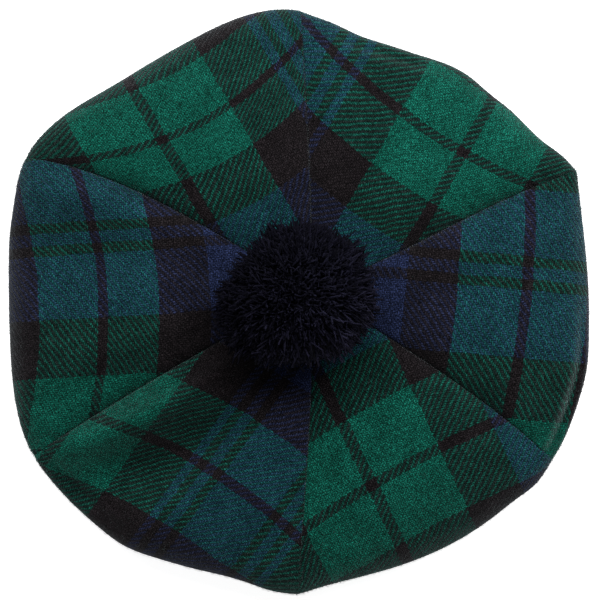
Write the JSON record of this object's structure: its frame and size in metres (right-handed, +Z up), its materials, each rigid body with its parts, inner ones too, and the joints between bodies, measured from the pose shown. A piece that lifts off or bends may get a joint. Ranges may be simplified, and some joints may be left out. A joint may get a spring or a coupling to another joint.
{
  "type": "tam o shanter",
  "caption": "Soft flat wool cap in dark green and navy tartan: a wide round crown of sewn wedges over a folded headband, with a cut-yarn pompom on top.",
  "frame": {"origin": "on the surface the cap stands on, under the middle of its bounding box", "axes": "+Z up through the pompom, +Y towards the top of the picture, +X to its right, seen from above"},
  "size_m": [0.2796, 0.2798, 0.1122],
  "materials": {
    "tartan": "brushed woollen twill, matt, napped",
    "band": "brushed woollen twill folded double, matt",
    "yarn": "cut wool yarn, matt"
  },
  "bodies": {
    "root": {"gore_1": "tartan", "gore_2": "tartan", "gore_3": "tartan", "gore_4": "tartan", "gore_5": "tartan", "gore_6": "tartan", "headband": "band", "toorie": "yarn"}
  },
  "joints": []
}
